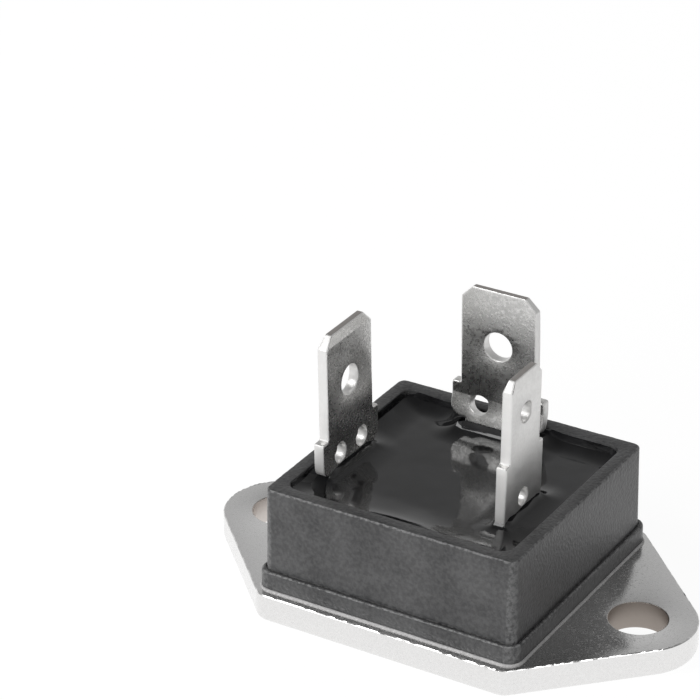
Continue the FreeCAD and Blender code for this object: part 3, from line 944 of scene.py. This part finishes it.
def make_fill_cap():
    """The black cap, from the gel to the crept surface."""
    mesh = bmesh.new()
    bmesh.ops.create_grid(mesh, x_segments=GRID_CUTS, y_segments=GRID_CUTS, size=1.0)
    for vertex in mesh.verts:
        vertex.co.x, vertex.co.y = crowd_and_round(vertex.co.x, vertex.co.y)
    for low_x, low_y, high_x, high_y in roots:
        for axis, place in ((0, low_x), (0, high_x), (1, low_y), (1, high_y)):
            cut_across(mesh, axis, place)
    taken = [face for face in mesh.faces
             if any(distance_to_root(*face.calc_center_median().xy, root) == 0.0 for root in roots)]
    bmesh.ops.delete(mesh, geom=taken, context="FACES")
    for vertex in mesh.verts:
        vertex.co.z = fill_height(vertex.co.x, vertex.co.y)
    borders = [edge for edge in mesh.edges if edge.is_boundary]
    walls = bmesh.ops.extrude_edge_only(mesh, edges=borders)["geom"]
    for vertex in only(walls, BMVert):
        vertex.co.z = GEL_TOP
    bmesh.ops.triangle_fill(mesh, edges=only(walls, BMEdge), use_beauty=True)
    finish_piece("fill_surface", mesh, potting, "fill_cap")


make_fill_cap()

# %% [markdown]
# A terminal is pressed from sheet: a flat blank with holes is cut out, its outer edges roll over a
# little, and then it is bent over. The blank is modelled flat in the same way and bent last. A
# curve modifier could bend it, but this class gives exact round bends. The bent line is a row of
# straight runs and bends, on which a place is found by its distance from the tip.

# %% Bent line


class BentLine:
    """Straight runs joined by round bends, in the plane (out, up)."""

    def __init__(self, corners, radius):
        self.runs = []
        start = corners[0]
        for before, corner, after in zip(corners, corners[1:], corners[2:]):
            heading, leaving = (corner - before).normalized(), (after - corner).normalized()
            turn = heading.angle(leaving)
            side = 1.0 if heading.x * leaving.y > heading.y * leaving.x else -1.0
            bend_start = corner - heading * (radius * math.tan(turn / 2))
            self.runs.append((start, heading, (bend_start - start).length, 0.0))
            self.runs.append((bend_start, heading, radius * turn, side / radius))
            start = corner + leaving * (radius * math.tan(turn / 2))
        last = corners[-1] - start
        self.runs.append((start, last.normalized(), last.length, 0.0))
        self.length = sum(run[2] for run in self.runs)

    def bend_cuts(self, pieces):
        """Distances from the tip where the blank is cut so that it can bend."""
        cuts, travelled = [], 0.0
        for _, _, length, curve in self.runs:
            if curve:
                cuts += [travelled + length * here / pieces for here in range(pieces + 1)]
            travelled += length
        return cuts

    def place(self, distance):
        """Point at a distance from the tip, and the direction there."""
        for start, heading, length, curve in self.runs:
            if distance <= length:
                break
            distance -= length
        else:
            distance += length
        if not curve:
            return start + heading * distance, heading
        left = Vector((-heading.y, heading.x))
        turned = distance * curve
        point = start + (heading * math.sin(turned) + left * (1 - math.cos(turned))) / curve
        return point, heading * math.cos(turned) + left * math.sin(turned)


bend_test = BentLine([Vector((0, 0)), Vector((0, -5)), Vector((5, -5))], 1.0)
print(f"a right-angled line with a 1 mm bend is {bend_test.length:.2f} mm long")

# %% [markdown]
# The three blanks differ only in their sizes, so one function cuts them all. One side of the
# outline is listed from the tip to the foot, and mirrored. The die rolls the edges over on one
# side and leaves a small burr on the other. Each face is told how matt it is while the blank lies
# flat, when its sides are easy to tell by their normals.

# %% Blanks
ROLLED_EDGE = 0.12
BURRED_EDGE = 0.05
CORNER_ROUND = 0.19
BLANK_SPACING = 0.5
BLADE_HOLE_BREAK, BLADE_HOLE_SEGMENTS = 0.1, 48
MATT_HOLE, MATT_EDGE, MATT_TIP, MATT_SIDE = 0.6, 1.0, 0.6, 0.62


def blank_outline(size, end):
    """Corners and radii of half a blank, from the tip to the foot, as (across, along, radius)."""
    half, low, neck = size["width"] / 2, size["width"] / 2 + size["shoulder"], size["neck"] / 2
    inward, down = size["chamfer"]
    return [(half - inward, 0.0, CORNER_ROUND), (half, down, CORNER_ROUND),
            (half, size["shoulder_drop"], CORNER_ROUND), (low, size["shoulder_drop"], CORNER_ROUND),
            (low, size["neck_drop"], size["shoulder_corner"]),
            (neck, size["neck_drop"], CORNER_ROUND), (neck, end, CORNER_ROUND)]


def mark_finish(mesh, holes, dull_side):
    """Write how matt each face is, and which faces are bare."""
    mesh.normal_update()
    matt = mesh.faces.layers.float.new("matt")
    bare = mesh.faces.layers.float.new("bare")
    for face in mesh.faces:
        x, y, _ = face.calc_center_median()
        if any(math.hypot(x - hole_x, y - hole_y) < radius + BURRED_EDGE
               for hole_x, hole_y, radius in holes):
            face[matt] = MATT_HOLE
        elif abs(face.normal.x) > 0.5:
            face[matt] = MATT_EDGE
        elif y < ROLLED_EDGE:
            face[matt] = MATT_TIP
        elif face.normal.z * dull_side > 0.9:
            face[matt] = MATT_SIDE
        if y < 0.01:
            face[bare] = 1.0


def make_blank(size, end, dull_side):
    """Flat sheet with holes: x runs across it, y along it from the tip, z through it."""
    right = blank_outline(size, end)
    corners = right + [(-across, along, radius) for across, along, radius in reversed(right)]
    mesh = rounded_face([corner[:2] for corner in corners], [corner[2] for corner in corners], 4)
    cut_long_edges(mesh, BLANK_SPACING)
    face = mesh.faces[:][0]
    bmesh.ops.translate(mesh, verts=mesh.verts[:], vec=(0, 0, BURRED_EDGE - SHEET / 2))
    rolled, burred = round_over(ROLLED_EDGE, 4), round_over(BURRED_EDGE, 2)
    caps = slab(mesh, face, SHEET - ROLLED_EDGE - BURRED_EDGE, rolled, burred)
    open_holes(mesh, caps, size["holes"], round_over(BLADE_HOLE_BREAK, 3), burred,
               BLADE_HOLE_SEGMENTS)
    mark_finish(mesh, size["holes"], dull_side)
    return mesh


print(f"edges rolled by {ROLLED_EDGE} mm on one side, burred by {BURRED_EDGE} mm on the other")

# %% [markdown]
# A blank is cut across wherever it has to bend, laid along its line and stood in its place. Its
# tip is thinner than the sheet, which leads the blade into its receptacle: on T1 and the gate over
# a short stretch with a crisp line, on T2 over a long soft one. Above the fill each blade leans by
# about a degree, as pressed parts do.

# %% Bending and standing
BEND_RADIUS, BEND_PIECES = 0.9, 7
LEAD_IN_DEPTH = 0.15
CRISP_LEAD_IN, SOFT_LEAD_IN = (0.8, 1.0), (4.0, 2.0)
SOFT_PIECES = 10
LEAN_FROM = 9.9


def bend_blank(mesh, line, turn, stand, lean, rolled_side, lead_in):
    """Lay a flat blank along its bent line and stand it in its place."""
    height, power = lead_in
    pieces = SOFT_PIECES if power > 1 else 1
    soft_cuts = [height * here / pieces for here in range(1, pieces)]
    for distance in soft_cuts + [height] + line.bend_cuts(BEND_PIECES):
        cut_across(mesh, 1, distance)
    spin = Matrix.Rotation(math.radians(turn), 3, "Z")
    for vertex in mesh.verts:
        across, along, depth = vertex.co
        thinner = 1.0 - LEAD_IN_DEPTH / (SHEET / 2) * max(0.0, 1.0 - along / height) ** power
        point, heading = line.place(along)
        point = point + Vector((-heading.y, heading.x)) * (depth * rolled_side * thinner)
        vertex.co = spin @ Vector((point.x, across, point.y)) + Vector((*stand, 0.0))
        above = max(0.0, vertex.co.z - LEAN_FROM)
        vertex.co += Vector((lean[0] * above, lean[1] * above, 0.0))


def mark_lead_in(mesh):
    """Keep the line where the thinner tip starts crisp."""
    for edge in mesh.edges:
        if all(abs(vertex.co.y - CRISP_LEAD_IN[0]) < 1e-4 for vertex in edge.verts):
            edge.smooth = False


def make_blade(name, node, size, line, turn, stand, lean, rolled_side=1,
               lead_in=CRISP_LEAD_IN):
    """One finished terminal."""
    mesh = make_blank(size, line.length, -rolled_side)
    if lead_in is CRISP_LEAD_IN:
        cut_across(mesh, 1, lead_in[0])
        mark_lead_in(mesh)
    bend_blank(mesh, line, turn, stand, lean, rolled_side, lead_in)
    finish_piece(name, mesh, tin, node, 26)


print(f"bends of {BEND_RADIUS} mm to the middle of the sheet")

# %% [markdown]
# T1 and T2 come from one wide blank, and the gate from a narrower one. T1 and the gate turn
# towards the chip at their feet. T2 stands behind and steps forward below its shoulders. The gate
# is bent the other way round, so its rolled side is the outer one.

# %% Terminals
WIDE = {"width": 6.2, "shoulder": 0.75, "neck": 5.0, "chamfer": (0.9, 0.9), "shoulder_drop": 8.1,
        "shoulder_corner": 0.9, "neck_drop": 10.9,
        "holes": [(0.0, 4.4, 1.15), (1.475, 9.65, 0.775), (-1.475, 9.65, 0.775)]}
GATE = {"width": 4.4, "shoulder": 0.55, "neck": 3.2, "chamfer": (0.6, 0.75), "shoulder_drop": 6.4,
        "shoulder_corner": 0.5, "neck_drop": 11.8,
        "holes": [(0.0, 3.1, 0.8), (0.0, 9.85, 0.7)]}
side_foot = t1_low.z + SHEET / 2


def side_line(top, reach):
    """Line of a side terminal: down from the tip and out along the foot."""
    return BentLine([Vector((0, top)), Vector((0, side_foot)), Vector((reach, side_foot))],
                    BEND_RADIUS)


t1_line = side_line(t1_high.z, t1_high.x - t1_x)
t2_line = BentLine([Vector((0, t2_high.z)), Vector((0, T2_BEND_Z)), Vector((T2_STEP, rear_foot)),
                    Vector((t2_y - t2_low.y, rear_foot))], BEND_RADIUS)
gate_line = side_line(gate_high.z, gate_x - gate_low.x)
make_blade("t1_blade", "t1_terminal", WIDE, t1_line, 0, (t1_x, row_y), lean=(-0.021, 0.014))
make_blade("t2_blade", "t2_terminal", WIDE, t2_line, -90, (t2_x, t2_y), lean=(0.0, -0.017),
           lead_in=SOFT_LEAD_IN)
make_blade("gate_blade", "gate_terminal", GATE, gate_line, 180, (gate_x, row_y),
           lean=(0.012, 0.008), rolled_side=-1)

# %% [markdown]
# The pieces that are sealed inside can't be seen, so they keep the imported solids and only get
# their finishes.

# %% Inner pieces
INNER_FINISHES = {
    "gel_fill": gel, "substrate_solder": solder, "substrate_lower_copper": copper,
    "substrate_ceramic": ceramic, "t2_pad": copper, "chip_solder": solder, "triac_chip": silicon,
    "t1_contact_solder": solder, "gate_contact_solder": solder, "t2_foot_solder": solder,
}
for node, finish in INNER_FINISHES.items():
    data = frame["nodes"][node].data
    data.materials.clear()
    data.materials.append(finish)
print("inner pieces finished:", len(INNER_FINISHES))

# %% [markdown]
# The floor is plain and nearly white. Seen straight on or mirrored it glows a little by itself,
# which makes the background white without more light on the part, and the lit share under the glow
# keeps the part's soft shadow.

# %% Floor
FLOOR_RADIUS = 1.5
FLOOR_GLOW, GLOW_STRENGTH = 0.86, 1.08


def make_floor_material():
    """White floor that keeps a soft shadow."""
    material, graph = new_material("pale floor")
    paint = graph.add("ShaderNodeBsdfDiffuse", {"Color": (0.86, 0.86, 0.86)})
    glow = graph.add("ShaderNodeEmission", {"Color": (1.0, 1.0, 1.0), "Strength": GLOW_STRENGTH})
    rays = graph.add("ShaderNodeLightPath").outputs
    seen = graph.math("MAXIMUM", rays["Is Camera Ray"],
                      graph.math("MAXIMUM", rays["Is Glossy Ray"], rays["Is Transmission Ray"]))
    mixed = graph.add("ShaderNodeMixShader", {"Fac": graph.math("MULTIPLY", seen, FLOOR_GLOW),
                                              1: paint.outputs[0], 2: glow.outputs[0]})
    graph.add("ShaderNodeOutputMaterial", {"Surface": mixed.outputs[0]})
    return material


def make_floor():
    """Round floor under the part."""
    mesh = bmesh.new()
    bmesh.ops.create_circle(mesh, cap_ends=True, segments=64, radius=FLOOR_RADIUS)
    new_object("floor", mesh, make_floor_material())


make_floor()
print("floor radius", FLOOR_RADIUS, "m")

# %% [markdown]
# The light is that of a light tent: bright near the ground and in front, darker overhead and on
# the right, so that upright faces are lighter than the rim and the black cap shows both sheen and
# depth. It could be built from panels, but a world whose brightness follows the direction has no
# edges that metal would mirror.

# %% Tent
HORIZON, HALF_UP, HALF_UP_RISE = 0.74, 0.44, 0.6
OVERHEAD_DROP, FRONT_BOOST, RIGHT_DROP = 0.34, 0.1, 0.35
FRONT_LEFT = (-0.55, -0.83, 0.0)


def make_world():
    """Surroundings that fade from a bright horizon to a dark top, and from front to right."""
    world = bpy.data.worlds.new("light tent")
    world.use_nodes = True
    graph = Graph(world.node_tree)
    way = graph.place("Generated")
    parts = graph.parts(way)
    low = graph.remap(parts["Z"], 0.0, HALF_UP_RISE, HORIZON, HALF_UP, "LINEAR")
    high = graph.remap(parts["Z"], HALF_UP_RISE, 1.0, 0.0, OVERHEAD_DROP, "LINEAR")
    front = graph.add("ShaderNodeVectorMath", {0: way, 1: FRONT_LEFT}, operation="DOT_PRODUCT")
    boost = graph.remap(front.outputs["Value"], 0.0, 1.0, 0.0, FRONT_BOOST)
    shade = graph.remap(parts["X"], 0.5, 1.0, 0.0, RIGHT_DROP)
    lit = graph.math("ADD", graph.math("SUBTRACT", low, high), boost)
    level = graph.math("SUBTRACT", lit, shade)
    sky = graph.add("ShaderNodeBackground", {"Color": (1.0, 1.0, 1.0), "Strength": level})
    graph.add("ShaderNodeOutputWorld", {"Surface": sky.outputs[0]})
    bpy.context.scene.world = world


make_world()
print("tent level", HORIZON, "at the horizon,", round(HALF_UP - OVERHEAD_DROP, 2), "overhead")

# %% [markdown]
# Three soft lamps stand in the tent. The one at the front left gives the light its direction and
# makes the plate's burred edge sparkle. The one at the right shows only as a sheen on the rear
# blade. The low one in front lights the frame's face and is kept out of mirror images, where a
# square lamp would show.

# %% Lamps
LAMP_AIM = Vector((0, 0, 0.01))


def area_light(name, place, size, power, mirrored=True, scattered=True):
    """Square soft lamp that faces the part, seen in mirror images, in scattered light or both."""
    data = bpy.data.lights.new(name, "AREA")
    data.size = size
    data.energy = power
    lamp = bpy.data.objects.new(name, data)
    lamp.location = place
    lamp.rotation_euler = (LAMP_AIM - Vector(place)).to_track_quat("-Z", "Y").to_euler()
    lamp.visible_glossy = mirrored
    lamp.visible_diffuse = scattered
    bpy.context.scene.collection.objects.link(lamp)


area_light("front left", (-0.276, -0.298, 0.44), 0.25, 1.05)
area_light("front right", (0.28, -0.11, 0.52), 0.24, 0.6, scattered=False)
area_light("front fill", (-0.02, -0.6, 0.1), 0.3, 2.3, mirrored=False)
print("lamps:", len(bpy.data.lights))

# %% [markdown]
# The camera stands in front, to the right and above, at the angle of the photograph. Its place,
# its small roll and its lens were fitted to points of the part whose real places are known. It is
# turned towards a point beside the part, so the part stands in the lower right of the picture.

# %% Camera
CAMERA_PLACE = Vector((98.051, -175.38, 124.489)) * MM
CAMERA_TARGET = Vector((-18.321, 15.551, 8.0)) * MM
CAMERA_ROLL = math.radians(-0.411)
CAMERA_LENS = 164.223

camera_data = bpy.data.cameras.new("camera")
camera_data.lens = CAMERA_LENS
camera_data.sensor_width = 36.0
camera_data.clip_start = 0.01
camera_data.clip_end = 10.0
camera = bpy.data.objects.new("camera", camera_data)
facing = (CAMERA_TARGET - CAMERA_PLACE).to_track_quat("-Z", "Y").to_matrix()
rolled = facing @ Matrix.Rotation(CAMERA_ROLL, 3, "Z")
camera.matrix_world = Matrix.Translation(CAMERA_PLACE) @ rolled.to_4x4()
bpy.context.scene.collection.objects.link(camera)
bpy.context.scene.camera = camera
bpy.context.scene.view_settings.view_transform = "Standard"
print("camera at", [round(value, 4) for value in camera.location])
